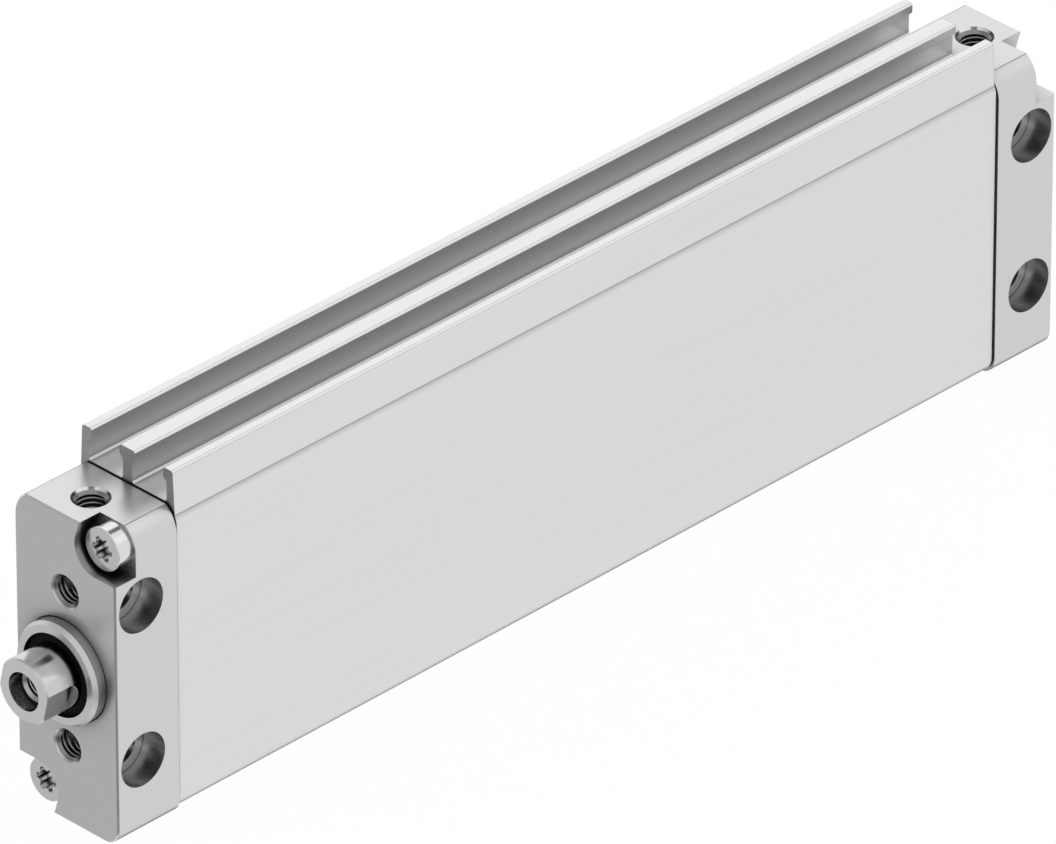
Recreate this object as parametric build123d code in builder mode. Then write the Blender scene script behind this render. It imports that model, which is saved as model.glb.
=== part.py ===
from build123d import *
import os

# Flat double-acting pneumatic cylinder with an oval piston, which keeps the rod from turning.
# Millimetres. X runs along the rod: X = 0 is the outer face of the bearing cap, on the rod's
# axis, and the rod points to -X. -Y is the wide face with the counterbores, and +Z is the
# narrow face with the air ports and the two sensor slots.

# Stroke and piston
stroke = 150.0
piston_length = 12.0
stop_gap = 0.2               # left between the piston and a cushion pad at each end

# Oval bore, and the walls around it
bore_width = 15.0
bore_height = 36.0
side_wall = 2.2
bottom_wall = 6.95
top_wall = 7.5
barrel_corner = 2.8

# Sensor slots along the top of the barrel
slot_opening = 5.57
slot_lip = 0.65
slot_lip_height = 1.5
slot_foot = 0.3              # chamfer where the slot's walls meet its floor
rail_height = 5.38
middle_rail_width = 3.12
outer_rail_inset = 0.7       # of the outer rails' top corners, in from the wide faces
crease_inset = 0.35          # of the crease below each outer rail
crease_drop = 1.6            # from the slot floor down to the crease
facet_drop = 2.7             # from the slot floor down to the top of the flat wide face
rail_edge = 0.3

# End caps
cap_length = 12.0
cap_proud = 0.3              # of the barrel's wide faces
cap_drop = 0.2               # of the caps' narrow faces below the slot floor
cap_corner = 2.9             # of the two bottom corners
cap_shoulder_inset = 2.1     # of the shoulders' creases, in from the wide faces
cap_shoulder_drop = 4.0      # from the narrow face down to where the shoulders begin
cap_edge = 0.25
gasket_thickness = 0.3
gasket_inset = 0.5
spigot_length = 1.2
spigot_side_wall = 1.0       # between a pad and the rim of its spigot, at the sides
spigot_end_wall = 2.3        # and at the two ends, where the air channel opens

# Mounting holes across the caps, and the tapped holes in their outer faces
mount_spacing = 25.4
mount_inset = 5.0
mount_hole_radius = 2.65
counterbore_radius = 4.25
counterbore_depth = 4.4
mount_exit_chamfer = 0.3
face_thread_radius = 2.5
face_thread_chamfer = 0.25
face_thread_depth = 11.0

# Air ports and their channels
port_inset = 5.9
port_offset = 0.7            # from the middle plane, towards +Y
port_radius = 2.5
port_chamfer = 0.38
port_depth = 5.5
port_drilling_radius = 1.2
channel_radius = 0.8
channel_wall = 0.3           # of spigot above the channel

# Tie screws, which run from the bearing cap through the barrel into the end cap
screw_side_inset = 3.95      # from the cap's wide face to the screw's axis
screw_top_inset = 3.6        # from the cap's narrow face to the screw's axis
screw_radius = 2.0
screw_hole_radius = 2.25
screw_tip_depth = 0.6        # of the screw's tip below the floor of the end cap's pocket
screw_tip_chamfer = 0.4
screw_head_radius = 3.4
screw_head_height = 2.6
screw_head_edge = 0.15
screw_depth_to_head = 1.5    # from the cap's outer face to the face of the head
pocket_radius = 4.0
pocket_lean = 17.0           # degrees, of the pocket's wall beside the narrow face
star_outer_radius = 1.95
star_notch_radius = 0.6
star_notch_circle = 2.05
star_corner = 0.15
star_depth = 1.5
star_points = 6

# Centring collar, rod seal and bearing bush
collar_radius = 8.0
collar_height = 2.2
collar_chamfer_length = 0.7
collar_chamfer_width = 0.42
collar_seat_radius = 7.0
collar_seat_depth = 5.0
collar_mouth_radius = 6.45
collar_shoulder = 2.2        # of metal left behind the rod seal
collar_line = 0.2            # chamfer round the collar's seat in the cap
seal_recess = 0.6            # from the collar's front down to the outer rim of the seal
seal_lip = 0.35              # of the wiping lip ahead of the rim
bush_wall = 1.0
bush_edge = 0.2

# Piston rod
rod_radius = 5.0
rod_projection = 8.24        # ahead of the bearing cap with the rod drawn in
rod_end_chamfer = 0.2
rod_thread_radius = 2.5
rod_thread_depth = 12.0
rod_mouth_radius = 3.0
rod_mouth_depth = 2.2
wrench_width = 9.0
wrench_length = 4.4
wrench_cutter_radius = 2.0
wrench_turn = 13.0           # degrees, of the flats about the rod's axis
rod_stub_radius = 3.0
rod_stub_chamfer = 0.4

# Piston pieces
magnet_length = 3.6
magnet_wall = 1.4            # from the magnet's rim out to the bore
piston_gap = 0.3             # between the piston's metal and the bore
seal_groove_depth = 1.2
seal_groove_length = 2.0
seal_groove_inset = 1.1
nut_height = 2.6
nut_width = 9.0
nut_recess_spare = 0.6
o_ring_section = 0.9

# Cushion pads
pad_thickness = 1.3
pad_proud = 0.5
pad_edge = 0.2

# Clearances
running_fit = 0.04           # between the rod and what it slides in
bore_fit = 0.05              # between the piston's rings and the barrel
static_fit = 0.02            # between pieces seated in each other
rod_gap = 0.5                # around the rod where nothing guides it

# Places worked out from the sizes
bore_depth_at_cap = spigot_length - gasket_thickness + pad_proud
barrel_length = stroke + piston_length + 2 * stop_gap + 2 * bore_depth_at_cap
barrel_start = cap_length + gasket_thickness
barrel_end = barrel_start + barrel_length
overall_length = barrel_end + gasket_thickness + cap_length
middle_plane = Plane.YZ.offset(overall_length / 2)
spigot_face = cap_length + spigot_length

barrel_half_width = bore_width / 2 + side_wall
barrel_bottom = -bore_height / 2 - bottom_wall
slot_floor = bore_height / 2 + top_wall
rail_top = slot_floor + rail_height
slot_middle = (middle_rail_width + slot_opening) / 2
slot_half_width = slot_opening / 2 + slot_lip

cap_half_width = barrel_half_width + cap_proud
cap_half_height = slot_floor - cap_drop
screw_y = cap_half_width - screw_side_inset
screw_z = cap_half_height - screw_top_inset
screw_places = [(-screw_y, screw_z), (screw_y, -screw_z)]
screw_seat = screw_depth_to_head + screw_head_height
screw_length = overall_length - 2 * screw_seat - screw_tip_depth
mount_places = [(0, -mount_spacing / 2), (0, mount_spacing / 2)]
channel_height = bore_height / 2 - channel_wall - channel_radius

bush_radius = rod_radius + bush_wall
pad_width = bore_width - 2 * spigot_side_wall
pad_height = bore_height - 2 * spigot_end_wall
pad_seat = spigot_face - pad_thickness + pad_proud

piston_rear = overall_length - spigot_face - pad_proud - stop_gap
piston_front = piston_rear - piston_length
piston_half_length = (piston_length - magnet_length) / 2
magnet_front = piston_front + piston_half_length
piston_width = bore_width - 2 * piston_gap
piston_height = bore_height - 2 * piston_gap
magnet_width = bore_width - 2 * magnet_wall
magnet_height = bore_height - 2 * magnet_wall
groove_width = piston_width - 2 * seal_groove_depth
groove_height = piston_height - 2 * seal_groove_depth
nut_seat = piston_rear - nut_height - nut_recess_spare

os.makedirs("parts", exist_ok=True)


def save(piece, name):
    """Label a finished piece and write it to its own file."""
    piece.part.label = name
    export_step(piece.part, f"parts/{name}.step")


def oval(width, height, spare=0.0, mode=Mode.ADD):
    """An upright oval of the bore's kind, spare wider all round, in the sketch in hand."""
    return SlotOverall(height + 2 * spare, width + 2 * spare, rotation=90, mode=mode)


# Barrel: one extrusion with the oval bore, two screw channels and two T-shaped sensor slots
with BuildSketch() as sensor_slot:
    with BuildLine():
        half = Polyline(
            (0, rail_height),
            (slot_opening / 2, rail_height),
            (slot_opening / 2, rail_height - slot_lip_height),
            (slot_half_width, rail_height - slot_lip_height - slot_lip),
            (slot_half_width, slot_foot),
            (slot_half_width - slot_foot, 0),
            (0, 0),
        )
        mirror(half, about=Plane.YZ)
    make_face()

with BuildPart() as barrel:
    with BuildSketch(Plane.YZ.offset(barrel_start)) as section:
        with BuildLine():
            side = Polyline(
                (0, barrel_bottom),
                (barrel_half_width, barrel_bottom),
                (barrel_half_width, slot_floor - facet_drop),
                (barrel_half_width - crease_inset, slot_floor - crease_drop),
                (barrel_half_width - outer_rail_inset, rail_top),
                (0, rail_top),
            )
            mirror(side, about=Plane.YZ)
        make_face()
        fillet(section.vertices().group_by(Axis.Y)[0], barrel_corner)
        with Locations((-slot_middle, slot_floor), (slot_middle, slot_floor)):
            add(sensor_slot.sketch, mode=Mode.SUBTRACT)
        chamfer(section.vertices().group_by(Axis.Y)[-1], rail_edge)
        oval(bore_width, bore_height, mode=Mode.SUBTRACT)
        with Locations(*screw_places):
            Circle(screw_hole_radius, mode=Mode.SUBTRACT)
    extrude(amount=barrel_length)
save(barrel, "barrel")

# Cap blank: what both end caps have in common, drawn as the front one
with BuildSketch() as corner_pocket:
    with BuildLine():
        floor = Line((-2 * screw_y, screw_z - pocket_radius), (-screw_y, screw_z - pocket_radius))
        bend = CenterArc((-screw_y, screw_z), pocket_radius, -90, 90 + pocket_lean)
        wall = PolarLine(bend @ 1, 2 * screw_top_inset, 90 + pocket_lean)
        Polyline(wall @ 1, (-2 * screw_y, (wall @ 1).Y), floor @ 0)
    make_face()

with BuildPart() as cap_blank:
    with BuildSketch(Plane.YZ) as cap_section:
        with BuildLine():
            foot = Polyline(
                (0, -cap_half_height),
                (cap_half_width, -cap_half_height),
                (cap_half_width, cap_half_height - cap_shoulder_drop),
            )
            shoulder = TangentArc(
                foot @ 1, (cap_half_width - cap_shoulder_inset, cap_half_height), tangent=(0, 1)
            )
            crown = Line(shoulder @ 1, (0, cap_half_height))
            mirror((foot, shoulder, crown), about=Plane.YZ)
        make_face()
        fillet(cap_section.vertices().group_by(Axis.Y)[0], cap_corner)
    extrude(amount=cap_length)
    chamfer(cap_blank.faces().sort_by(Axis.X)[0].edges(), cap_edge)
    with BuildSketch(Plane.YZ.offset(cap_length)):
        oval(bore_width, bore_height, spare=-bore_fit)
    extrude(amount=spigot_length)
    with BuildSketch(Plane.YZ.offset(spigot_face)):
        oval(pad_width, pad_height, spare=static_fit)
    extrude(amount=pad_seat - spigot_face, mode=Mode.SUBTRACT)

    # Corner pockets for the heads of the two tie screws
    with BuildSketch(Plane.YZ):
        with PolarLocations(0, 2):
            add(corner_pocket.sketch)
    extrude(amount=screw_seat, mode=Mode.SUBTRACT)

    # Mounting holes across the cap, counterbored on -Y
    with Locations(Plane((mount_inset, -cap_half_width, 0), x_dir=(1, 0, 0), z_dir=(0, -1, 0))):
        with Locations(*mount_places):
            CounterBoreHole(mount_hole_radius, counterbore_radius, counterbore_depth)
    with Locations(Plane((mount_inset, cap_half_width, 0), x_dir=(1, 0, 0), z_dir=(0, 1, 0))):
        with Locations(*mount_places):
            CounterSinkHole(mount_hole_radius, mount_hole_radius + mount_exit_chamfer, cap_half_width, 90)

    # Tapped holes in the outer face, whose threads run on past the mounting holes
    with Locations(Plane((0, 0, 0), x_dir=(0, 1, 0), z_dir=(-1, 0, 0))):
        with Locations(*mount_places):
            CounterSinkHole(
                face_thread_radius, face_thread_radius + face_thread_chamfer, face_thread_depth, 90
            )

    # Air port in the narrow face, drilled down to a channel that opens at the spigot's face
    with Locations(Plane((port_inset, port_offset, cap_half_height), z_dir=(0, 0, 1))):
        CounterSinkHole(port_radius, port_radius + port_chamfer, port_depth, 90)
        Hole(port_drilling_radius, cap_half_height - channel_height + channel_radius)
    with BuildSketch(Plane.YZ.offset(port_inset)):
        with Locations((port_offset, channel_height)):
            Circle(channel_radius)
    extrude(amount=spigot_face - port_inset, mode=Mode.SUBTRACT)

# Bearing cap: the blank with clear holes for the tie screws, and the stepped bore for the
# collar, the bush and the rod
with BuildPart() as bearing_cap:
    add(cap_blank.part)
    with BuildSketch(Plane.YZ):
        with Locations(*screw_places):
            Circle(screw_hole_radius)
    extrude(amount=cap_length, mode=Mode.SUBTRACT)
    with Locations(Plane((0, 0, 0), z_dir=(-1, 0, 0))):
        CounterSinkHole(
            collar_seat_radius + static_fit, collar_radius + collar_line, collar_seat_depth, 90
        )
        Hole(bush_radius + static_fit, spigot_face)
save(bearing_cap, "bearing_cap")

# End cap: the same blank turned round, closed behind the piston and tapped for the tie screws
with BuildPart() as end_cap:
    mirror(cap_blank.part, about=middle_plane)
    with BuildSketch(Plane.YZ.offset(barrel_end)):
        with Locations(*screw_places):
            Circle(screw_radius + static_fit)
    extrude(amount=overall_length - barrel_end, mode=Mode.SUBTRACT)
save(end_cap, "end_cap")

# Flat gaskets between the caps and the barrel
with BuildPart() as front_gasket:
    with BuildSketch(Plane.YZ.offset(cap_length)):
        RectangleRounded(
            2 * (barrel_half_width - gasket_inset),
            2 * (bore_height / 2 + bottom_wall - gasket_inset),
            barrel_corner,
        )
        oval(bore_width, bore_height, mode=Mode.SUBTRACT)
        with Locations(*screw_places):
            Circle(screw_hole_radius, mode=Mode.SUBTRACT)
    extrude(amount=gasket_thickness)
save(front_gasket, "front_gasket")

with BuildPart() as rear_gasket:
    mirror(front_gasket.part, about=middle_plane)
save(rear_gasket, "rear_gasket")

# Tie screws with cheese heads and a six-point star recess, in two opposite corners
for screw_name, (seat_y, seat_z) in zip(("tie_screw_upper", "tie_screw_lower"), screw_places):
    seat = Plane((screw_seat, seat_y, seat_z), z_dir=(1, 0, 0))
    with BuildPart(seat) as tie_screw:
        Cylinder(
            screw_head_radius, screw_head_height, align=(Align.CENTER, Align.CENTER, Align.MAX)
        )
        fillet(tie_screw.faces().sort_by(Axis.X)[0].edges(), screw_head_edge)
        Cylinder(screw_radius, screw_length, align=(Align.CENTER, Align.CENTER, Align.MIN))
        chamfer(tie_screw.faces().sort_by(Axis.X)[-1].edges(), screw_tip_chamfer)
        with BuildSketch(seat.offset(-screw_head_height)) as star:
            Circle(star_outer_radius)
            with PolarLocations(star_notch_circle, star_points):
                Circle(star_notch_radius, mode=Mode.SUBTRACT)
            fillet(star.vertices(), star_corner)
        extrude(amount=star_depth, mode=Mode.SUBTRACT)
    save(tie_screw, screw_name)

# Centring collar, pressed into the bearing cap, with the rod seal in its mouth
seal_seat = collar_seat_depth - collar_shoulder
collar_inner_radius = rod_radius + rod_gap
with BuildPart() as centring_collar:
    with BuildSketch(Plane.XZ):
        with BuildLine():
            Polyline(
                (-collar_height, collar_mouth_radius),
                (-collar_height, collar_radius - collar_chamfer_width),
                (-collar_height + collar_chamfer_length, collar_radius),
                (0, collar_radius),
                (collar_radius - collar_seat_radius, collar_seat_radius),
                (collar_seat_depth, collar_seat_radius),
                (collar_seat_depth, collar_inner_radius),
                (seal_seat, collar_inner_radius),
                (seal_seat, collar_mouth_radius),
                close=True,
            )
        make_face()
    revolve(axis=Axis.X)
save(centring_collar, "centring_collar")

seal_rim = -collar_height + seal_recess
with BuildPart() as rod_seal:
    with BuildSketch(Plane.XZ):
        with BuildLine():
            Polyline(
                (seal_rim, collar_mouth_radius - static_fit),
                (seal_rim - seal_lip, rod_radius + running_fit),
                (seal_seat, rod_radius + running_fit),
                (seal_seat, collar_mouth_radius - static_fit),
                close=True,
            )
        make_face()
    revolve(axis=Axis.X)
save(rod_seal, "rod_seal")

# Bearing bush for the rod, pressed into the cap behind the collar
with BuildPart() as rod_bush:
    with BuildSketch(Plane.YZ.offset(collar_seat_depth)):
        Circle(bush_radius)
        Circle(rod_radius + running_fit, mode=Mode.SUBTRACT)
    extrude(amount=pad_seat - collar_seat_depth)
    chamfer(rod_bush.edges().filter_by(GeomType.CIRCLE), bush_edge)
save(rod_bush, "rod_bush")

# Elastic cushion pads, seated in the spigots and proud of them
with BuildPart() as front_cushion_pad:
    with BuildSketch(Plane.YZ.offset(pad_seat)):
        oval(pad_width, pad_height)
        Circle(rod_radius + rod_gap, mode=Mode.SUBTRACT)
    extrude(amount=pad_thickness)
    chamfer(front_cushion_pad.faces().sort_by(Axis.X)[-1].edges(), pad_edge)
save(front_cushion_pad, "front_cushion_pad")

with BuildPart() as rear_cushion_pad:
    with BuildSketch(Plane.YZ.offset(overall_length - pad_seat)):
        oval(pad_width, pad_height)
    extrude(amount=-pad_thickness)
    chamfer(rear_cushion_pad.faces().sort_by(Axis.X)[0].edges(), pad_edge)
save(rear_cushion_pad, "rear_cushion_pad")

# Piston rod: tapped end with two wrench flats, and a stub that carries the piston
stub_end = piston_rear - nut_recess_spare
with BuildPart() as piston_rod:
    with BuildSketch(Plane.XZ):
        with BuildLine():
            Polyline(
                (-rod_projection, 0),
                (-rod_projection, rod_radius - rod_end_chamfer),
                (-rod_projection + rod_end_chamfer, rod_radius),
                (piston_front, rod_radius),
                (piston_front, rod_stub_radius),
                (stub_end - rod_stub_chamfer, rod_stub_radius),
                (stub_end, rod_stub_radius - rod_stub_chamfer),
                (stub_end, 0),
                close=True,
            )
        make_face()
    revolve(axis=Axis.X)

    # Wrench flats, which a round cutter leaves with a curved run-out
    with BuildSketch(Plane((-rod_projection, 0, 0)).rotated((wrench_turn, 0, 0))):
        with BuildLine():
            cut_floor = Line((0, wrench_width / 2), (wrench_length, wrench_width / 2))
            run_out = RadiusArc(
                cut_floor @ 1,
                (wrench_length + wrench_cutter_radius, wrench_width / 2 + wrench_cutter_radius),
                -wrench_cutter_radius,
            )
            Polyline(run_out @ 1, (0, (run_out @ 1).Y), cut_floor @ 0)
        make_face()
        mirror(about=Plane.XZ)
    extrude(amount=rod_radius, both=True, mode=Mode.SUBTRACT)

    with Locations(Plane((-rod_projection, 0, 0), z_dir=(-1, 0, 0))):
        CounterBoreHole(rod_thread_radius, rod_mouth_radius, rod_mouth_depth, rod_thread_depth)
save(piston_rod, "piston_rod")

# Piston: two halves clamped on the magnet, each with a groove for its seal
stub_hole_radius = rod_stub_radius + static_fit
with BuildPart() as piston_front_half:
    with BuildSketch(Plane.YZ.offset(piston_front)):
        oval(piston_width, piston_height)
        Circle(stub_hole_radius, mode=Mode.SUBTRACT)
    extrude(amount=piston_half_length)
    with BuildSketch(Plane.YZ.offset(piston_front + seal_groove_inset)):
        oval(piston_width, piston_height, spare=piston_gap)
        oval(groove_width, groove_height, mode=Mode.SUBTRACT)
    extrude(amount=seal_groove_length, mode=Mode.SUBTRACT)
    with BuildSketch(Plane.YZ.offset(piston_front + piston_half_length)):
        Circle(stub_hole_radius + o_ring_section)
    extrude(amount=-o_ring_section, mode=Mode.SUBTRACT)
save(piston_front_half, "piston_front_half")

piston_plane = Plane.YZ.offset(piston_front + piston_length / 2)
nut_corner_radius = nut_width / 3**0.5
with BuildPart() as piston_rear_half:
    with BuildSketch(Plane.YZ.offset(piston_rear)):
        oval(piston_width, piston_height)
        Circle(stub_hole_radius, mode=Mode.SUBTRACT)
    extrude(amount=-piston_half_length)
    with BuildSketch(Plane.YZ.offset(piston_rear - seal_groove_inset)):
        oval(piston_width, piston_height, spare=piston_gap)
        oval(groove_width, groove_height, mode=Mode.SUBTRACT)
    extrude(amount=-seal_groove_length, mode=Mode.SUBTRACT)
    with BuildSketch(Plane.YZ.offset(piston_rear)):
        Circle(nut_corner_radius + running_fit)
    extrude(amount=nut_seat - piston_rear, mode=Mode.SUBTRACT)
save(piston_rear_half, "piston_rear_half")

# Lip seals in the two grooves
with BuildPart() as front_piston_seal:
    with BuildSketch(Plane.YZ.offset(piston_front + seal_groove_inset)):
        oval(bore_width, bore_height, spare=-bore_fit)
        oval(groove_width, groove_height, spare=static_fit, mode=Mode.SUBTRACT)
    extrude(amount=seal_groove_length)
save(front_piston_seal, "front_piston_seal")

with BuildPart() as rear_piston_seal:
    mirror(front_piston_seal.part, about=piston_plane)
save(rear_piston_seal, "rear_piston_seal")

# Ring magnet that the sensors read through the barrel, and the guide ring around it
with BuildPart() as piston_magnet:
    with BuildSketch(Plane.YZ.offset(magnet_front)):
        oval(magnet_width, magnet_height)
        Circle(stub_hole_radius, mode=Mode.SUBTRACT)
    extrude(amount=magnet_length)
save(piston_magnet, "piston_magnet")

with BuildPart() as piston_guide_ring:
    with BuildSketch(Plane.YZ.offset(magnet_front)):
        oval(bore_width, bore_height, spare=-bore_fit)
        oval(magnet_width, magnet_height, spare=static_fit, mode=Mode.SUBTRACT)
    extrude(amount=magnet_length)
save(piston_guide_ring, "piston_guide_ring")

# O-ring that seals the piston on the rod's stub
with BuildPart() as rod_o_ring:
    ring_radius = stub_hole_radius + o_ring_section / 2
    with BuildSketch(Plane.XZ):
        with Locations((magnet_front - o_ring_section / 2, ring_radius)):
            Circle(o_ring_section / 2)
    revolve(axis=Axis.X)
save(rod_o_ring, "rod_o_ring")

# Thin nut that clamps the piston, sunk in its rear half
with BuildPart() as piston_nut:
    with BuildSketch(Plane.YZ.offset(nut_seat)):
        RegularPolygon(nut_corner_radius, 6)
        Circle(stub_hole_radius, mode=Mode.SUBTRACT)
    extrude(amount=nut_height)
save(piston_nut, "piston_nut")
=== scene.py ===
import math

import bmesh
import bpy
from mathutils import Matrix, Vector


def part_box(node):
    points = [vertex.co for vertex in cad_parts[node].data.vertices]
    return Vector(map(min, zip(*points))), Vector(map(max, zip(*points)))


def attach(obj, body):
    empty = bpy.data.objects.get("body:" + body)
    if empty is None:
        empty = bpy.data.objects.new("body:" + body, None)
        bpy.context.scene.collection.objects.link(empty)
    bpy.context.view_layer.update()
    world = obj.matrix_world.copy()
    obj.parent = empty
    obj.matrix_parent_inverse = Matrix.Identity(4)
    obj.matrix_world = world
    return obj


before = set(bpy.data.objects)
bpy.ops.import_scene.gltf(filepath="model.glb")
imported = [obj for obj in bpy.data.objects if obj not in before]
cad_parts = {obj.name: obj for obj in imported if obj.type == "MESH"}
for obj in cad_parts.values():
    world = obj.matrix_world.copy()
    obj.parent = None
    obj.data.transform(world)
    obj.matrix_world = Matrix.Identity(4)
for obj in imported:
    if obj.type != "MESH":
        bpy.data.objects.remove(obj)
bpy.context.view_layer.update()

MM = 0.001

# Barrel
# One aluminium extrusion with the oval bore and the two sensor slots, sawn to length and clear
# anodised. The die leaves long fine lines, and the oxide on them gives a pale satin sheen.


def linear(hex_colour):
    """The linear colour of an sRGB hex value, with full alpha."""
    shares = [int(hex_colour[i : i + 2], 16) / 255 for i in (1, 3, 5)]
    return tuple(c / 12.92 if c <= 0.04045 else ((c + 0.055) / 1.055) ** 2.4 for c in shares) + (1.0,)


def add_node(tree, kind, settings, links=()):
    """Add a node: settings are its properties first and then its inputs, links its wired inputs."""
    node = tree.nodes.new(kind)
    for key, value in settings.items():
        if isinstance(key, int) or key in node.inputs:
            node.inputs[key].default_value = value
        else:
            setattr(node, key, value)
    for key, source in links:
        tree.links.new(source, node.inputs[key])
    return node


def start_material(name):
    """A material with nothing in it but a place for its output, and its Object coordinates."""
    material = bpy.data.materials.new(name)
    material.use_nodes = True
    material.node_tree.nodes.clear()
    place = add_node(material.node_tree, "ShaderNodeTexCoord", {})
    return material, material.node_tree, place.outputs["Object"]


def end_material(tree, settings, links):
    """The main shader and the output."""
    shader = add_node(tree, "ShaderNodeBsdfPrincipled", settings, links)
    add_node(tree, "ShaderNodeOutputMaterial", {}, [("Surface", shader.outputs["BSDF"])])


def marks(tree, place, size, detail=3.0, turned_about=None):
    """Noise whose marks have this size in mm along X, Y and Z. A turned piece's marks run round
    its axis, which is parallel to X through turned_about, and then Y is the size across them."""
    if turned_about is not None:
        y, z = turned_about
        centred = add_node(
            tree, "ShaderNodeVectorMath", {"operation": "SUBTRACT", 1: (0, y, z)}, [(0, place)]
        )
        parts = add_node(
            tree, "ShaderNodeSeparateXYZ", {}, [("Vector", centred.outputs["Vector"])]
        )
        across = add_node(
            tree, "ShaderNodeCombineXYZ", {},
            [("X", parts.outputs["Y"]), ("Y", parts.outputs["Z"])],
        )
        radius = add_node(
            tree, "ShaderNodeVectorMath", {"operation": "LENGTH"}, [(0, across.outputs["Vector"])]
        )
        place = add_node(
            tree, "ShaderNodeCombineXYZ", {},
            [("X", parts.outputs["X"]), ("Y", radius.outputs["Value"])],
        ).outputs["Vector"]
    scaled = add_node(
        tree, "ShaderNodeMapping",
        {"vector_type": "POINT", "Scale": tuple(1 / (s * MM) for s in size)},
        [("Vector", place)],
    )
    return add_node(
        tree, "ShaderNodeTexNoise", {"Scale": 1.0, "Detail": detail, "Roughness": 0.55},
        [("Vector", scaled.outputs["Vector"])],
    ).outputs["Fac"]


def between(tree, factor, low, high, start=0.3, end=0.7):
    """A number that goes from low to high as the factor goes from start to end."""
    return add_node(
        tree, "ShaderNodeMapRange",
        {"interpolation_type": "SMOOTHSTEP", "From Min": start, "From Max": end,
         "To Min": low, "To Max": high},
        [("Value", factor)],
    ).outputs["Result"]


def mixed(tree, factor, first, second):
    """A colour from first to second. Each is a hex value or another node's colour."""
    settings, links = {"data_type": "RGBA"}, [(0, factor)]
    for socket, colour in ((6, first), (7, second)):
        if isinstance(colour, str):
            settings[socket] = linear(colour)
        else:
            links.append((socket, colour))
    return add_node(tree, "ShaderNodeMix", settings, links).outputs[2]


def product(tree, *factors):
    """Numbers multiplied together."""
    result = factors[0]
    for factor in factors[1:]:
        result = add_node(
            tree, "ShaderNodeMath", {"operation": "MULTIPLY"}, [(0, result), (1, factor)]
        ).outputs["Value"]
    return result


def size_of(tree, number):
    """A number without its sign."""
    return add_node(
        tree, "ShaderNodeMath", {"operation": "ABSOLUTE"}, [(0, number)]
    ).outputs["Value"]


def open_share(tree, reach):
    """How open the surface is within reach mm, from 0 in a deep hole to 1 on an open face."""
    return add_node(
        tree, "ShaderNodeAmbientOcclusion", {"samples": 6, "Distance": reach * MM}
    ).outputs["AO"]


def edge_share(tree, width):
    """0 on open faces, rising towards 1 on the edges that are sharp within width mm."""
    smooth = add_node(tree, "ShaderNodeBevel", {"samples": 4, "Radius": width * MM})
    plain = add_node(tree, "ShaderNodeNewGeometry", {})
    alike = add_node(
        tree, "ShaderNodeVectorMath", {"operation": "DOT_PRODUCT"},
        [(0, smooth.outputs["Normal"]), (1, plain.outputs["Normal"])],
    )
    return between(tree, alike.outputs["Value"], 1, 0, 0.9, 0.99)


def metal(
    name, tones, painted_hollow_shade, reach, size, rough, relief, turned_about=None, openness=(0.5, 0.95),
    edge=None, shades=None, painted_light=None,
):
    """A metal with fine marks of a tool or a die: two tones for the marks; a darker tone painted as
    shade into its hollows and beside other parts within reach mm, and the openness where that painted
    shade starts and ends; the marks' size in mm, two roughnesses, the relief in mm; the width in mm and
    the tone of painted dark lines along its sharp edges; its own painted shades; and painted light that
    keeps some hollows from going dark."""
    material, tree, place = start_material(name)
    lines = marks(tree, place, size, turned_about=turned_about)
    clouds = marks(tree, place, (40.0, 25.0, 25.0), detail=2.0)
    tone = mixed(tree, between(tree, lines, 0, 1), tones[0], tones[1])
    tone = mixed(tree, between(tree, clouds, 0, 0.35), tone, tones[0])
    # Painted dark lines along sharp edges, then the piece's own painted shades, then painted shade in
    # hollows, then painted light over some of that shade.
    if edge is not None:
        tone = mixed(tree, edge_share(tree, edge[0]), tone, edge[1])
    if shades is not None:
        tone = shades(tree, place, tone)
    tone = mixed(tree, between(tree, open_share(tree, reach), 0, 1, *openness), painted_hollow_shade, tone)
    if painted_light is not None:
        tone = painted_light(tree, place, tone)
    bump = add_node(
        tree, "ShaderNodeBump", {"Strength": 1.0, "Distance": relief * MM}, [("Height", lines)]
    )
    end_material(
        tree, {"Metallic": 1.0},
        [("Base Color", tone), ("Roughness", between(tree, lines, *rough)),
         ("Normal", bump.outputs["Normal"])],
    )
    return material


def dress(material, *names):
    """Give CAD nodes their material."""
    for name in names:
        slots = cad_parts[name].material_slots
        for slot in slots:
            slot.material = material


RAIL_HEIGHT, CREASE_DROP, FACET_DROP = 5.38, 1.6, 2.7   # as in the part's source
barrel_outside, barrel_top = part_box("barrel")[1].y / MM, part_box("barrel")[1].z / MM
slot_floor = barrel_top - RAIL_HEIGHT


def turned_and_placed(tree, place):
    """The ways that a surface faces, and where it is, each as X, Y and Z."""
    normal = add_node(tree, "ShaderNodeNewGeometry", {}).outputs["Normal"]
    return [
        add_node(tree, "ShaderNodeSeparateXYZ", {}, [("Vector", vector)]).outputs
        for vector in (normal, place)
    ]


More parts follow.
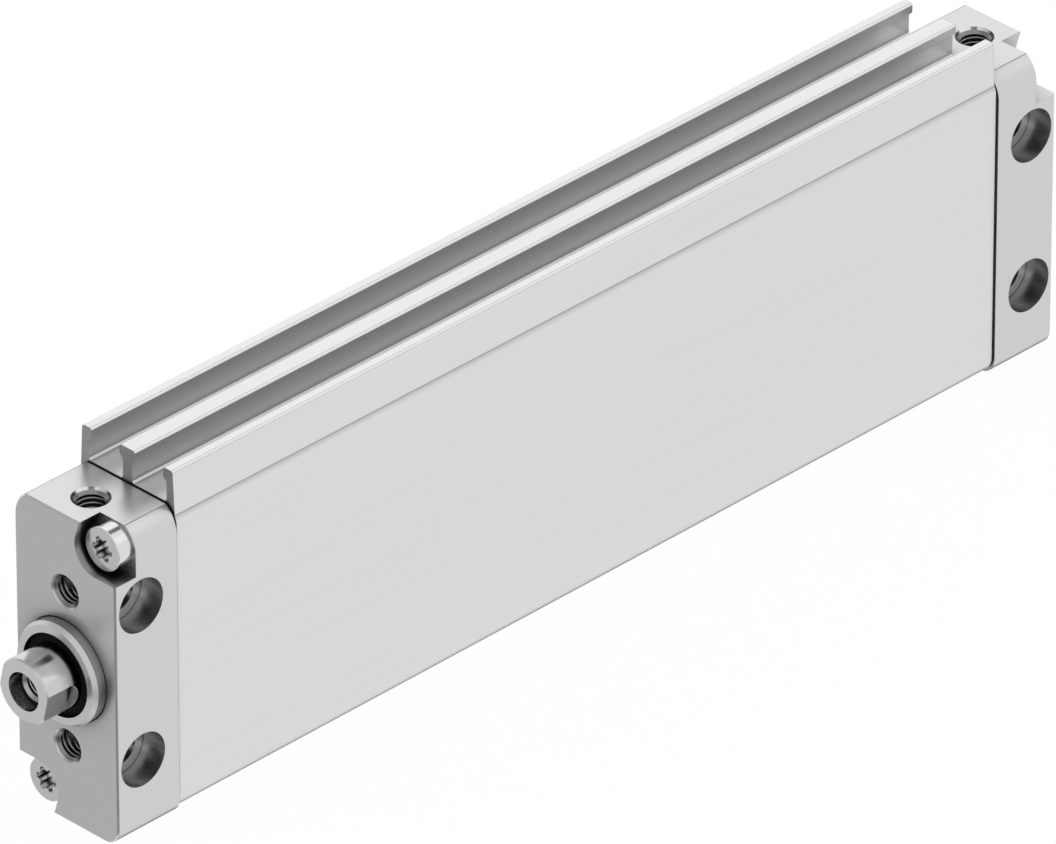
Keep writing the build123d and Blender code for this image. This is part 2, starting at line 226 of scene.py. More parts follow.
def barrel_shades(tree, place, tone):
    """Painted shade: darker walls inside the sensor slots, darkest towards their tops, darker sawn
    ends, and painted shade on the outer facets under the crease, darkest right below it.
    """
    faces, parts = turned_and_placed(tree, place)
    from_middle = size_of(tree, parts["Y"])

    upright = between(tree, size_of(tree, faces["Y"]), 0, 1, 0.85, 0.95)
    inside = between(
        tree, from_middle, 1, 0, (barrel_outside - 1.5) * MM, (barrel_outside - 1.3) * MM
    )
    above = between(tree, parts["Z"], 0, 1, slot_floor * MM, (slot_floor + 0.1) * MM)
    rising = between(
        tree, parts["Z"], 0, 1, (slot_floor + 0.6) * MM, (barrel_top - 0.8) * MM
    )
    painted_wall_shade = mixed(tree, rising, "#d0d1d2", "#c6c7c8")
    tone = mixed(tree, product(tree, upright, inside, above), tone, painted_wall_shade)

    crease = slot_floor - CREASE_DROP
    not_above = between(tree, parts["Z"], 1, 0, crease * MM, (crease + 0.05) * MM)
    outside = between(
        tree, from_middle, 0, 1, (barrel_outside - 0.8) * MM, (barrel_outside - 0.6) * MM
    )
    for lowest, shade in ((slot_floor - FACET_DROP, "#d4d5d5"), (crease - 0.3, "#b0b1b2")):
        below = between(tree, parts["Z"], 0, 1, lowest * MM, crease * MM)
        tone = mixed(tree, product(tree, below, not_above, outside), tone, shade)

    # Painted shade on the sawn ends.
    sawn = between(tree, size_of(tree, faces["X"]), 0, 1, 0.85, 0.95)
    return mixed(tree, sawn, tone, "#b4b5b6")


# Painted shade darkens the barrel within 1.5 mm of hollows and other parts, and painted dark lines
# follow its sharp edges.
extruded_aluminium = metal(
    "extruded_clear_anodised_aluminium", ("#f1f2f2", "#f4f5f5"), "#a8a9aa", 1.5,
    (45.0, 0.35, 0.35), (0.31, 0.35), 0.0004, edge=(0.13, "#707172"), shades=barrel_shades,
)
dress(extruded_aluminium, "barrel")

# End caps
# Each is milled from aluminium bar, tumbled to take the burrs off and clear anodised. The tumbling
# leaves a fine even grain, a shade greyer than the barrel. Painted shade darkens the holes and the
# hollows, and painted light, painted highlights and painted reflections lift parts of them again.
SHOULDER_INSET = 2.1             # of the shoulders' creases, as in the part's source
MOUNT_INSET, MOUNT_HEIGHT = 5.0, 12.7
COUNTERBORE_RADIUS, COUNTERBORE_DEPTH = 4.25, 4.4
# LIGHT_REACH is how far the counterbores' painted light reaches.
LIGHT_REACH = 7.0                # into the mounting holes from the wide face, past the counterbore
PORT_INSET, PORT_OFFSET, PORT_RADIUS = 5.9, 0.7, 2.5
SEAT_RIM_RADIUS = 8.2            # of the chamfer round the collar's seat
front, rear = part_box("bearing_cap")[0].x / MM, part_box("end_cap")[1].x / MM
cap_side, cap_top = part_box("bearing_cap")[1].y / MM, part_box("bearing_cap")[1].z / MM


def distance_from(tree, first, second, centre=(0, 0)):
    """How far a place is from a line, seen along it: two of the place's coordinates, and the
    line's own two in mm."""
    seen = add_node(tree, "ShaderNodeCombineXYZ", {}, [("X", first), ("Y", second)])
    return add_node(
        tree, "ShaderNodeVectorMath",
        {"operation": "DISTANCE", 1: (centre[0] * MM, centre[1] * MM, 0)},
        [(0, seen.outputs["Vector"])],
    ).outputs["Value"]


def counterbore_painted_light(tree, faces, parts, tone):
    """Painted light in the counterbores, which lifts them out of the painted hollow shade: their walls
    get painted shade that darkens inwards, their floors a lighter painted light, and a painted dark
    line runs round the corner between the two."""
    height = size_of(tree, parts["Z"])
    floor_place = (COUNTERBORE_DEPTH - cap_side) * MM
    radius = COUNTERBORE_RADIUS * MM
    for x in (front + MOUNT_INSET, rear - MOUNT_INSET):
        from_axis = distance_from(tree, parts["X"], height, (x, MOUNT_HEIGHT))
        inside = product(
            tree, between(tree, from_axis, 1, 0, radius, radius + 0.02 * MM),
            between(
                tree, parts["Y"], 1, 0,
                (LIGHT_REACH - cap_side) * MM, (LIGHT_REACH + 0.5 - cap_side) * MM,
            ),
        )
        inwards = between(tree, parts["Y"], 0, 1, (1.0 - cap_side) * MM, floor_place - 0.4 * MM)
        tone = mixed(tree, inside, tone, mixed(tree, inwards, "#c0c1c2", "#a4a5a6"))
        floor = product(tree, inside, between(tree, faces["Y"], 1, 0, -0.95, -0.85))
        tone = mixed(tree, floor, tone, "#e0e1e2")
        corner = product(
            tree, inside, between(tree, from_axis, 0, 1, radius - 0.16 * MM, radius - 0.08 * MM),
            between(tree, parts["Y"], 0, 1, floor_place - 0.08 * MM, floor_place),
        )
        tone = mixed(tree, corner, tone, "#808182")
    return tone


def port_painted_reflections(tree, faces, parts, tone):
    """Painted reflections round the ports: bands of light and dark on the countersinks, set by which
    way each part of them faces.
    """
    leaning = product(
        tree, between(tree, faces["Z"], 0, 1, 0.5, 0.6), between(tree, faces["Z"], 1, 0, 0.8, 0.9)
    )
    sideways = add_node(
        tree, "ShaderNodeMath", {"operation": "SUBTRACT"}, [(0, faces["X"]), (1, faces["Y"])]
    )
    aslant = size_of(tree, sideways.outputs["Value"])
    bands = mixed(tree, between(tree, aslant, 0, 1, 0.70, 0.90), "#f4f4f4", "#4a4b4c")
    bands = mixed(tree, between(tree, aslant, 1, 0, 0.10, 0.25), bands, "#8a8b8c")
    for x in (front + PORT_INSET, rear - PORT_INSET):
        from_port = distance_from(tree, parts["X"], parts["Y"], (x, PORT_OFFSET))
        around = between(tree, from_port, 1, 0, (PORT_RADIUS + 0.6) * MM, (PORT_RADIUS + 0.7) * MM)
        tone = mixed(tree, product(tree, leaning, around), tone, bands)
    return tone


def cap_painted_light(tree, place, tone):
    """Painted light in a cap, over the painted hollow shade: the counterbores, the floors of the
    screws' pockets, and a painted highlight on the rim of the collar's seat. Then the painted
    reflections round the ports, and painted dark lines along the shoulders' creases."""
    faces, parts = turned_and_placed(tree, place)
    tone = counterbore_painted_light(tree, faces, parts, tone)
    painted_pocket_light = product(
        tree, between(tree, faces["X"], 1, 0, -0.95, -0.85),
        between(tree, parts["X"], 0, 1, (front + 0.8) * MM, (front + 1.0) * MM),
    )
    tone = mixed(tree, painted_pocket_light, tone, "#c4c5c6")
    from_rod = distance_from(tree, parts["Y"], parts["Z"])
    painted_seat_rim_highlight = product(
        tree, between(tree, from_rod, 1, 0, SEAT_RIM_RADIUS * MM, (SEAT_RIM_RADIUS + 0.05) * MM),
        between(tree, parts["X"], 1, 0, (front + 0.4) * MM, (front + 0.5) * MM),
    )
    tone = mixed(tree, painted_seat_rim_highlight, tone, "#f0f0f1")
    tone = port_painted_reflections(tree, faces, parts, tone)
    # Painted dark line along each shoulder's crease.
    from_middle, crease = size_of(tree, parts["Y"]), cap_side - SHOULDER_INSET
    line = product(
        tree, between(tree, from_middle, 0, 1, (crease - 0.12) * MM, (crease - 0.04) * MM),
        between(tree, from_middle, 1, 0, (crease + 0.04) * MM, (crease + 0.12) * MM),
        between(tree, parts["Z"], 0, 1, (cap_top - 0.15) * MM, (cap_top - 0.1) * MM),
    )
    return mixed(tree, line, tone, "#9a9b9c")


# Painted shade darkens the caps within 6 mm of hollows and of the parts beside them, and painted dark
# lines follow their sharp edges.
cap_aluminium = metal(
    "tumbled_clear_anodised_aluminium", ("#e3e4e5", "#e6e7e7"), "#808182", 6.0,
    (0.5, 0.5, 0.5), (0.28, 0.32), 0.0003, openness=(0.42, 0.98), edge=(0.06, "#8e8f90"),
    painted_light=cap_painted_light,
)
dress(cap_aluminium, "bearing_cap", "end_cap")

# Gaskets
# Cut from black fibre sheet bound with nitrile rubber, and clamped between the caps and the
# barrel. Only the cut edge shows: matt dark grey, with the fibres across it.
gasket_sheet, tree, place = start_material("nitrile_bound_fibre_sheet")
fibres = marks(tree, place, (0.15, 0.15, 0.6))
end_material(
    tree, {"Specular IOR Level": 0.3},
    [("Base Color", mixed(tree, between(tree, fibres, 0, 1), "#6c6d6e", "#808182")),
     ("Roughness", between(tree, fibres, 0.6, 0.8))],
)
dress(gasket_sheet, "front_gasket", "rear_gasket")

# Seals
# The rod's lip seal, the piston's two lip seals and the O-ring on the rod's stub, all moulded
# from black nitrile rubber: matt, with a trace of release powder from the mould.
rubber, tree, place = start_material("moulded_nitrile_rubber")
grain = marks(tree, place, (0.4, 0.4, 0.4))
bump = add_node(tree, "ShaderNodeBump", {"Distance": 0.004 * MM}, [("Height", grain)])
end_material(
    tree, {"Specular IOR Level": 0.12},
    [("Base Color", mixed(tree, between(tree, grain, 0, 1), "#030303", "#0a0a0a")),
     ("Roughness", between(tree, grain, 0.55, 0.75)), ("Normal", bump.outputs["Normal"])],
)
dress(rubber, "rod_seal", "front_piston_seal", "rear_piston_seal", "rod_o_ring")

# Cushion pads
# Cast from polyurethane and pressed into the caps' spigots, where the piston meets one at each
# end of its stroke. They are dark and slightly waxy.
polyurethane, tree, place = start_material("cast_polyurethane")
grain = marks(tree, place, (1.2, 1.2, 1.2))
end_material(
    tree, {"Specular IOR Level": 0.5},
    [("Base Color", mixed(tree, between(tree, grain, 0, 1), "#2a2723", "#35312c")),
     ("Roughness", between(tree, grain, 0.4, 0.5))],
)
dress(polyurethane, "front_cushion_pad", "rear_cushion_pad")

# Tie screws and piston nut
# Cold-headed steel, bright zinc plated. The plating is smooth and nearly mirror-like, with the
# forging's faint skin under it. Painted shade darkens the star recess and the other hollows, and
# painted dark lines follow its sharp edges.
zinc_steel = metal(
    "bright_zinc_plated_steel", ("#eff0f0", "#f5f5f6"), "#505152", 1.2,
    (0.6, 0.6, 0.6), (0.12, 0.16), 0.0004, openness=(0.3, 0.85), edge=(0.06, "#6a6b6c"),
)
dress(zinc_steel, "tie_screw_upper", "tie_screw_lower", "piston_nut")

# Centring collar
# Turned from aluminium bar and clear anodised. The lathe leaves rings that fan the light out. Painted
# shade makes the chamfer, and still more the round side, darker than the faced front. Painted shade
# darkens its hollows, and painted dark lines follow its sharp edges.


def collar_shades(tree, place, tone):
    """Painted shade by which way the surface faces: a darker chamfer and a still darker round side."""
    faces, parts = turned_and_placed(tree, place)
    chamfer = between(tree, size_of(tree, faces["X"]), 1, 0, 0.75, 0.95)
    tone = mixed(tree, chamfer, tone, "#d8d9da")
    side = between(tree, size_of(tree, faces["X"]), 1, 0, 0.15, 0.35)
    return mixed(tree, side, tone, "#a4a5a6")


collar_aluminium = metal(
    "turned_clear_anodised_aluminium", ("#f0f1f1", "#f8f8f9"), "#8a8b8c", 1.2,
    (0.12, 0.12, 1.0), (0.26, 0.32), 0.0006, turned_about=(0, 0), openness=(0.1, 0.6),
    edge=(0.06, "#c4c5c6"), shades=collar_shades,
)
dress(collar_aluminium, "centring_collar")

# Bearing bush
# Pressed and sintered from bronze powder, soaked with oil and pushed into the bearing cap
# behind the seal: brown-gold with open pores.
bronze, tree, place = start_material("oiled_sintered_bronze")
pores = marks(tree, place, (0.25, 0.25, 0.25))
bump = add_node(tree, "ShaderNodeBump", {"Distance": 0.01 * MM}, [("Height", pores)])
end_material(
    tree, {"Metallic": 1.0},
    [("Base Color", mixed(tree, between(tree, pores, 0, 1), "#6b4a24", "#b58a4e")),
     ("Roughness", between(tree, pores, 0.35, 0.5)), ("Normal", bump.outputs["Normal"])],
)
dress(bronze, "rod_bush")

# Piston rod
# Stainless steel, ground between centres and polished: very fine rings round the shank and a
# near-mirror shine, with plain milled wrench flats and a tapped end.
WRENCH_TURN = math.radians(13.0)     # of the flats about the rod, as in the part's source
FLAT_DEPTH, FLAT_LENGTH = 4.5, 4.4   # from the rod's axis, and from its end
MOUTH_RADIUS, MOUTH_DEPTH = 3.0, 2.2
ROD_RADIUS = 5.0
rod_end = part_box("piston_rod")[0].x / MM


def rod_shades(tree, place, tone):
    """Painted light on the faced end, and painted shade, standing for dark reflections, on the milled
    wrench flats and on the cutter's run-out behind them."""
    faces, parts = turned_and_placed(tree, place)
    end = product(
        tree, between(tree, faces["X"], 1, 0, -0.95, -0.85),
        between(tree, parts["X"], 1, 0, rod_end * MM, (rod_end + 1) * MM),
    )
    tone = mixed(tree, end, tone, "#fbfbfb")
    flat_way = (0, math.cos(WRENCH_TURN), math.sin(WRENCH_TURN))
    normal = add_node(tree, "ShaderNodeCombineXYZ", {}, [("Y", faces["Y"]), ("Z", faces["Z"])])
    towards = add_node(
        tree, "ShaderNodeVectorMath", {"operation": "DOT_PRODUCT", 1: flat_way},
        [(0, normal.outputs["Vector"])],
    )
    across = add_node(
        tree, "ShaderNodeVectorMath", {"operation": "DOT_PRODUCT", 1: flat_way}, [(0, place)]
    )
    from_middle = size_of(tree, across.outputs["Value"])
    painted_flat_shade = product(
        tree, between(tree, size_of(tree, towards.outputs["Value"]), 0, 1, 0.990, 0.998),
        between(tree, from_middle, 1, 0, (FLAT_DEPTH + 0.02) * MM, (FLAT_DEPTH + 0.08) * MM),
    )
    tone = mixed(tree, painted_flat_shade, tone, "#a4a5a6")
    flat_end = rod_end + FLAT_LENGTH
    painted_run_out_shade = product(
        tree, between(tree, from_middle, 0, 1, FLAT_DEPTH * MM, (FLAT_DEPTH + 0.04) * MM),
        between(
            tree, distance_from(tree, parts["Y"], parts["Z"]), 1, 0,
            (ROD_RADIUS - 0.06) * MM, (ROD_RADIUS - 0.02) * MM,
        ),
        between(tree, parts["X"], 0, 1, (flat_end - 0.1) * MM, (flat_end + 0.1) * MM),
        between(tree, parts["X"], 1, 0, (flat_end + 2.0) * MM, (flat_end + 2.4) * MM),
    )
    return mixed(tree, painted_run_out_shade, tone, "#848586")


def rod_painted_light(tree, place, tone):
    """Painted light in the turned mouth in front of the thread, which keeps it out of the painted
    hollow shade.
    """
    faces, parts = turned_and_placed(tree, place)
    inside = product(
        tree, between(tree, size_of(tree, faces["X"]), 1, 0, 0.3, 0.5),
        between(
            tree, parts["X"], 1, 0,
            (rod_end + MOUTH_DEPTH - 0.2) * MM, (rod_end + MOUTH_DEPTH) * MM,
        ),
        between(
            tree, distance_from(tree, parts["Y"], parts["Z"]), 1, 0,
            (MOUTH_RADIUS + 0.1) * MM, (MOUTH_RADIUS + 0.2) * MM,
        ),
    )
    return mixed(tree, inside, tone, "#d0d1d2")


# Painted shade darkens the rod within 4 mm of hollows and of the seal and collar beside it, and painted
# dark lines follow its sharp edges.
stainless_steel = metal(
    "ground_stainless_steel", ("#dadbdc", "#e2e3e3"), "#1c1d1e", 4.0,
    (0.10, 0.10, 1.0), (0.14, 0.20), 0.0004, turned_about=(0, 0), openness=(0.5, 1.0),
    edge=(0.06, "#8a8b8c"), shades=rod_shades, painted_light=rod_painted_light,
)
dress(stainless_steel, "piston_rod")

# Piston halves
# Turned and milled from aluminium, left bare and clamped on the rod's stub by the thin nut,
# with cutter marks round the rod's axis.
# Painted shade darkens its hollows within 2 mm.
bare_aluminium = metal(
    "machined_bare_aluminium", ("#cfd0d0", "#e0e0e0"), "#5a5a5a", 2.0,
    (0.15, 0.15, 1.0), (0.25, 0.35), 0.001, turned_about=(0, 0),
)
dress(bare_aluminium, "piston_front_half", "piston_rear_half")

# Magnet and guide ring
# A plastic-bonded ferrite magnet, moulded dark grey, in a guide ring moulded from natural
# acetal, an off-white plastic that lets a little light in.
ferrite, tree, place = start_material("plastic_bonded_ferrite")
grain = marks(tree, place, (0.3, 0.3, 0.3))
end_material(
    tree, {},
    [("Base Color", mixed(tree, between(tree, grain, 0, 1), "#2b2c2e", "#3d3e41")),
     ("Roughness", between(tree, grain, 0.5, 0.7))],
)
dress(ferrite, "piston_magnet")

acetal, tree, place = start_material("natural_acetal")
grain = marks(tree, place, (0.8, 0.8, 0.8))
end_material(
    tree, {"IOR": 1.48, "Subsurface Weight": 0.1, "Subsurface Scale": 0.5 * MM},
    [("Base Color", mixed(tree, between(tree, grain, 0, 1), "#e3dfd0", "#efece0")),
     ("Roughness", between(tree, grain, 0.35, 0.45))],
)
dress(acetal, "piston_guide_ring")

# Tapped threads
# M5 x 0.8 threads, cut by a tap in the ports, in the caps' outer faces and in the rod's end.
# Each is a countersunk first ring and one helical ridge that grows out of it over a quarter turn. Their
# tapped aluminium and tapped stainless steel get darker tones than the caps and the rod, as painted
# shade inside the holes, and painted shade darkens their hollows further.
PITCH = 0.8 * MM
WALL_RADIUS = 2.5 * MM
RIDGE_DEPTH = 0.43 * MM
RIDGE_BASE = 0.72 * MM
RIDGE_CREST = 0.16 * MM
SUNK_IN_WALL = 0.02 * MM
STEPS_A_TURN = 40

cut_aluminium = metal(
    "tapped_aluminium", ("#8e8f90", "#9c9d9e"), "#3c3d3e", 1.2,
    (0.1, 0.1, 0.1), (0.2, 0.3), 0.001, openness=(0.05, 0.6),
)
cut_steel = metal(
    "tapped_stainless_steel", ("#b0b1b2", "#c4c5c6"), "#4a4b4c", 1.2,
    (0.1, 0.1, 0.1), (0.2, 0.3), 0.001, openness=(0.05, 0.5),
)


def thread_tree():
    """The ridge of an inside thread, from the origin up along Z."""
    tree = bpy.data.node_groups.new("inside_thread", "GeometryNodeTree")
    tree.is_modifier = True
    socket = tree.interface.new_socket
    socket("Geometry", in_out="OUTPUT", socket_type="NodeSocketGeometry")
    for name in ("Wall Radius", "Ridge Depth", "Base Width", "Crest Width", "Pitch", "Length"):
        socket(name, in_out="INPUT", socket_type="NodeSocketFloat")
    socket("Steps", in_out="INPUT", socket_type="NodeSocketInt")
    socket("Finish", in_out="INPUT", socket_type="NodeSocketMaterial")
    given = add_node(tree, "NodeGroupInput", {}).outputs
    turns = add_node(
        tree, "ShaderNodeMath", {"operation": "DIVIDE"}, [(0, given["Length"]), (1, given["Pitch"])]
    )
    helix = add_node(
        tree, "GeometryNodeCurveSpiral", {},
        [("Resolution", given["Steps"]), ("Rotations", turns.outputs["Value"]),
         ("Start Radius", given["Wall Radius"]), ("End Radius", given["Wall Radius"]),
         ("Height", given["Length"])],
    )
    upright = add_node(
        tree, "GeometryNodeSetCurveNormal", {"mode": "Z_UP"}, [("Curve", helix.outputs["Curve"])]
    )
    along = add_node(tree, "GeometryNodeSplineParameter", {})
    from_start = add_node(
        tree, "ShaderNodeMapRange", {"From Min": 0.0, "From Max": math.tau * WALL_RADIUS / 4},
        [("Value", along.outputs["Length"])],
    )
    profile = add_node(
        tree, "GeometryNodeCurvePrimitiveQuadrilateral", {"mode": "TRAPEZOID", "Offset": 0.0},
        [("Bottom Width", given["Base Width"]), ("Top Width", given["Crest Width"]),
         ("Height", given["Ridge Depth"])],
    )
    half_depth = add_node(
        tree, "ShaderNodeMath", {"operation": "MULTIPLY", 1: 0.5}, [(0, given["Ridge Depth"])]
    )
    inward = add_node(tree, "ShaderNodeCombineXYZ", {}, [("X", half_depth.outputs["Value"])])
    turned = add_node(
        tree, "GeometryNodeTransform", {"Rotation": (0, 0, -math.pi / 2)},
        [("Geometry", profile.outputs["Curve"]), ("Translation", inward.outputs["Vector"])],
    )
    ridge = add_node(
        tree, "GeometryNodeCurveToMesh", {"Fill Caps": True},
        [("Curve", upright.outputs["Curve"]), ("Profile Curve", turned.outputs["Geometry"]),
         ("Scale", from_start.outputs["Result"])],
    )
    real = add_node(
        tree, "GeometryNodeRealizeInstances", {}, [("Geometry", ridge.outputs["Mesh"])]
    )
    finished = add_node(
        tree, "GeometryNodeSetMaterial", {},
        [("Geometry", real.outputs["Geometry"]), ("Material", given["Finish"])],
    )
    add_node(tree, "NodeGroupOutput", {}, [("Geometry", finished.outputs["Geometry"])])
    return tree


def threads(name, body, finish, holes, crossings=()):
    """One mesh of thread ridges for a body. Each hole is its mouth, its inward way, and how far
    below the mouth a thread starts and ends, all in mm. Each crossing is a plain hole along Y
    that cuts the ridges: its x, its z and its radius in mm."""
    tree = thread_tree()
    socket_ids = {item.name: item.identifier for item in tree.interface.items_tree}
    joined = bmesh.new()
    for mouth, way, start, end in holes:
        maker = bpy.data.objects.new("thread_maker", bpy.data.meshes.new("thread_maker"))
        bpy.context.scene.collection.objects.link(maker)
        modifier = maker.modifiers.new("thread", "NODES")
        modifier.node_group = tree
        values = {
            "Wall Radius": WALL_RADIUS + SUNK_IN_WALL, "Ridge Depth": RIDGE_DEPTH + SUNK_IN_WALL,
            "Base Width": RIDGE_BASE, "Crest Width": RIDGE_CREST, "Pitch": PITCH,
            "Length": (end - start) * MM - RIDGE_DEPTH - RIDGE_BASE / 2, "Steps": STEPS_A_TURN,
            "Finish": finish,
        }
        for key, value in values.items():
            modifier[socket_ids[key]] = value
        shaped = bpy.data.meshes.new_from_object(
            maker.evaluated_get(bpy.context.evaluated_depsgraph_get())
        )
        turn = Vector((0, 0, 1)).rotation_difference(Vector(way)).to_matrix().to_4x4()
        wall_start = Matrix.Translation((Vector(mouth) + Vector(way) * start) * MM) @ turn
        shaped.transform(wall_start @ Matrix.Translation((0, 0, RIDGE_DEPTH)))
        joined.from_mesh(shaped)
        rings = [
            [
                joined.verts.new(wall_start @ Vector((r * math.cos(a), r * math.sin(a), z)))
                for a in (math.tau * i / STEPS_A_TURN for i in range(STEPS_A_TURN))
            ]
            for r, z in (
                (WALL_RADIUS + SUNK_IN_WALL, -SUNK_IN_WALL), (WALL_RADIUS - RIDGE_DEPTH, RIDGE_DEPTH),
                (WALL_RADIUS + SUNK_IN_WALL, RIDGE_DEPTH + RIDGE_BASE / 2),
            )
        ]
        for i in range(STEPS_A_TURN):
            for first, second in ((0, 1), (1, 2), (2, 0)):
                joined.faces.new(
                    (rings[first][i - 1], rings[first][i], rings[second][i], rings[second][i - 1])
                )
        bpy.data.objects.remove(maker)
        bpy.data.meshes.remove(shaped)
    bmesh.ops.remove_doubles(joined, verts=joined.verts, dist=1e-7)
    bmesh.ops.recalc_face_normals(joined, faces=joined.faces)
    for x, z, radius in crossings:
        cut_off = [
            face for face in joined.faces
            if math.dist(face.calc_center_median().xz, (x * MM, z * MM)) < radius * MM
        ]
        bmesh.ops.delete(joined, geom=cut_off, context="FACES")
    mesh = bpy.data.meshes.new(name)
    joined.to_mesh(mesh)
    joined.free()
    mesh.materials.append(finish)
    piece = bpy.data.objects.new(name, mesh)
    bpy.context.scene.collection.objects.link(piece)
    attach(piece, body)


PORT_START, PORT_END = 0.35, 5.45
FACE_START, FACE_END = 0.25, 10.9
MOUNT_RADIUS = 2.65

cap_threads = [
    ((x, PORT_OFFSET, cap_top), (0, 0, -1), PORT_START, PORT_END)
    for x in (front + PORT_INSET, rear - PORT_INSET)
] + [
    ((x, 0, side * MOUNT_HEIGHT), (way, 0, 0), FACE_START, FACE_END)
    for x, way in ((front, 1), (rear, -1))
    for side in (-1, 1)
]
mounting_holes = [
    (x, side * MOUNT_HEIGHT, MOUNT_RADIUS)
    for x in (front + MOUNT_INSET, rear - MOUNT_INSET)
    for side in (-1, 1)
]
threads("cap_threads", "housing", cut_aluminium, cap_threads, mounting_holes)

ROD_THREAD = (2.2, 11.9)
threads(
    "rod_thread", "rod", cut_steel, [((rod_end, 0, 0), (1, 0, 0), *ROD_THREAD)]
)

# Floor
# A plain pale table that the cylinder stands on. The camera sees it nearly white, with the
# object's soft shadow, and glossy rays pass through it to the pale studio around.
FLOOR_HALF = 3.0
FLOOR_WHITE = 0.97          # of the camera's floor that is plain white, and the rest takes shadow
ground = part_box("bearing_cap")[0].z - 0.05 * MM

floor_material, tree, place = start_material("pale_table")
speckle = marks(tree, place, (3.0, 3.0, 3.0))
matt = add_node(
    tree, "ShaderNodeBsdfDiffuse", {},
    [("Color", mixed(tree, between(tree, speckle, 0, 1), "#f4f4f4", "#fafafa"))],
)
glow = add_node(tree, "ShaderNodeEmission", {"Color": (1, 1, 1, 1), "Strength": 1.0})
clear = add_node(tree, "ShaderNodeBsdfTransparent", {})
ray = add_node(tree, "ShaderNodeLightPath", {}).outputs
white_share = add_node(
    tree, "ShaderNodeMath", {"operation": "MULTIPLY", 1: FLOOR_WHITE}, [(0, ray["Is Camera Ray"])]
)
seen = add_node(
    tree, "ShaderNodeMixShader", {},
    [("Fac", white_share.outputs["Value"]), (1, matt.outputs["BSDF"]), (2, glow.outputs["Emission"])],
)
passed = add_node(
    tree, "ShaderNodeMath", {"operation": "MAXIMUM"},
    [(0, ray["Is Glossy Ray"]), (1, ray["Is Transmission Ray"])],
)
both = add_node(
    tree, "ShaderNodeMixShader", {},
    [("Fac", passed.outputs["Value"]), (1, seen.outputs["Shader"]), (2, clear.outputs["BSDF"])],
)
add_node(tree, "ShaderNodeOutputMaterial", {}, [("Surface", both.outputs["Shader"])])

floor_mesh = bpy.data.meshes.new("floor")
corners = [(x * FLOOR_HALF, y * FLOOR_HALF, ground) for x, y in ((-1, -1), (1, -1), (1, 1), (-1, 1))]
floor_mesh.from_pydata(corners, [], [(0, 1, 2, 3)])
floor_mesh.materials.append(floor_material)
floor = bpy.data.objects.new("floor", floor_mesh)
floor.visible_shadow = False
bpy.context.scene.collection.objects.link(floor)

# Studio
# A pale room with soft cards. A card is the azimuth from +X towards +Y, the height above the
# horizon, the half angle of its even part and of its soft edge in degrees, and its brightness.
ROOM = 0.78
AROUND = 1.0                 # of the light that matt surfaces take from the room
CARDS = [
    (45, 32, 20, 60, 0.95),      # pale ceiling that the tops show
    (-45, -32, 15, 45, 0.77),    # even light that the wide face with the counterbores shows
    (135, -32, 20, 50, 0.50),    # greyer side that the rod's end of the part shows
    (-135, -32, 8, 30, 0.20),    # dark side under the camera, which draws the edges
    (34, -42, 12, 30, 0.15),     # dark floor behind, which draws the rounded undersides
    (-43, 35, 14, 28, 0.80),     # card that chamfers and round pieces show
    (133, 38, 12, 40, 0.45),     # grey side above the rod, which its top and the collar show
    (8, 52, 3, 13, 0.10),        # gap between two cards, a dark band on round pieces
]

world = bpy.data.worlds.new("studio")
bpy.context.scene.world = world
world.use_nodes = True
world.cycles.sampling_method = "NONE"
tree = world.node_tree
tree.nodes.clear()
way = add_node(tree, "ShaderNodeTexCoord", {}).outputs["Generated"]
level = add_node(tree, "ShaderNodeValue", {}).outputs["Value"]
level.default_value = ROOM
for azimuth, height, even, soft, brightness in CARDS:
    a, h = math.radians(azimuth), math.radians(height)
    card_way = (math.cos(a) * math.cos(h), math.sin(a) * math.cos(h), math.sin(h))
    towards = add_node(
        tree, "ShaderNodeVectorMath", {"operation": "DOT_PRODUCT", 1: card_way}, [(0, way)]
    )
    cover = between(
        tree, towards.outputs["Value"], 0, 1, math.cos(math.radians(soft)), math.cos(math.radians(even))
    )
    level = add_node(
        tree, "ShaderNodeMix", {"data_type": "FLOAT", 3: brightness}, [(0, cover), (2, level)]
    ).outputs[0]
ray = add_node(tree, "ShaderNodeLightPath", {}).outputs
metal_light = add_node(
    tree, "ShaderNodeMix", {"data_type": "FLOAT", 2: AROUND}, [(0, ray["Is Glossy Ray"]), (3, level)]
)
straight = add_node(
    tree, "ShaderNodeMath", {"operation": "MAXIMUM"},
    [(0, ray["Is Camera Ray"]), (1, ray["Is Transmission Ray"])],
)
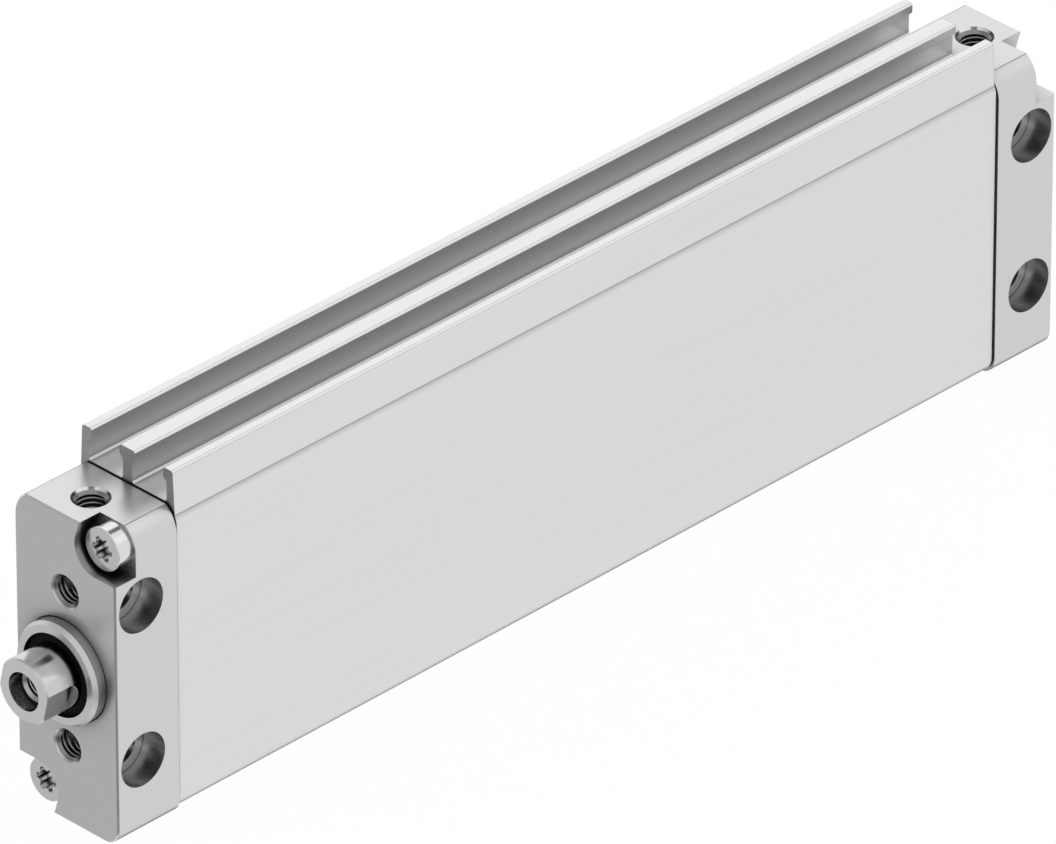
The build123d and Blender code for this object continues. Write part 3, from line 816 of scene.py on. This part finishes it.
strength = add_node(
    tree, "ShaderNodeMix", {"data_type": "FLOAT", 3: 1.0},
    [(0, straight.outputs["Value"]), (2, metal_light.outputs[0])],
)
background = add_node(
    tree, "ShaderNodeBackground", {"Color": (1, 1, 1, 1)}, [("Strength", strength.outputs[0])]
)
add_node(tree, "ShaderNodeOutputWorld", {}, [("Surface", background.outputs["Background"])])

# Lamps
# Two soft boxes, dim beside the room's own light. Each is its azimuth from +X towards +Y and its
# height in degrees, its size and distance in metres and its brightness beside the room's.
SOFT_BOXES = {"key_box": (-43, 36, 0.9, 2.0, 0.1), "fill_box": (95, 60, 0.6, 2.0, 0.15)}

for name, (azimuth, height, size, distance, brightness) in SOFT_BOXES.items():
    a, h = math.radians(azimuth), math.radians(height)
    box_way = Vector((math.cos(a) * math.cos(h), math.sin(a) * math.cos(h), math.sin(h)))
    lamp_data = bpy.data.lights.new(name, "AREA")
    lamp_data.shape = "DISK"
    lamp_data.size = size
    lamp_data.energy = brightness * 4 * math.pi * (size / 2) ** 2     # gives that brightness
    lamp = bpy.data.objects.new(name, lamp_data)
    lamp.location = box_way * distance
    lamp.rotation_euler = box_way.to_track_quat("Z", "Y").to_euler()
    bpy.context.scene.collection.objects.link(lamp)

# Camera
# A long lens from in front of the rod, to the left and above, as in the reference picture. Its
# place was fitted to the object's corners in that picture.
LENS = 581.95
AZIMUTH, ELEVATION = -45.2234, 31.6654
LOOKED_AT = Vector((0.09020, -0.00105, 0.00142))
DISTANCE = 2.430

camera_data = bpy.data.cameras.new("camera")
camera_data.lens = LENS
camera_data.sensor_width = 36.0
camera = bpy.data.objects.new("camera", camera_data)
turn, tilt = math.radians(AZIMUTH), math.radians(90 - ELEVATION)
camera.rotation_euler = (tilt, 0, turn)
backward = Vector((math.sin(turn) * math.sin(tilt), -math.cos(turn) * math.sin(tilt), math.cos(tilt)))
camera.location = LOOKED_AT + backward * DISTANCE
bpy.context.scene.collection.objects.link(camera)
bpy.context.scene.camera = camera

bpy.context.scene.view_settings.view_transform = "Standard"
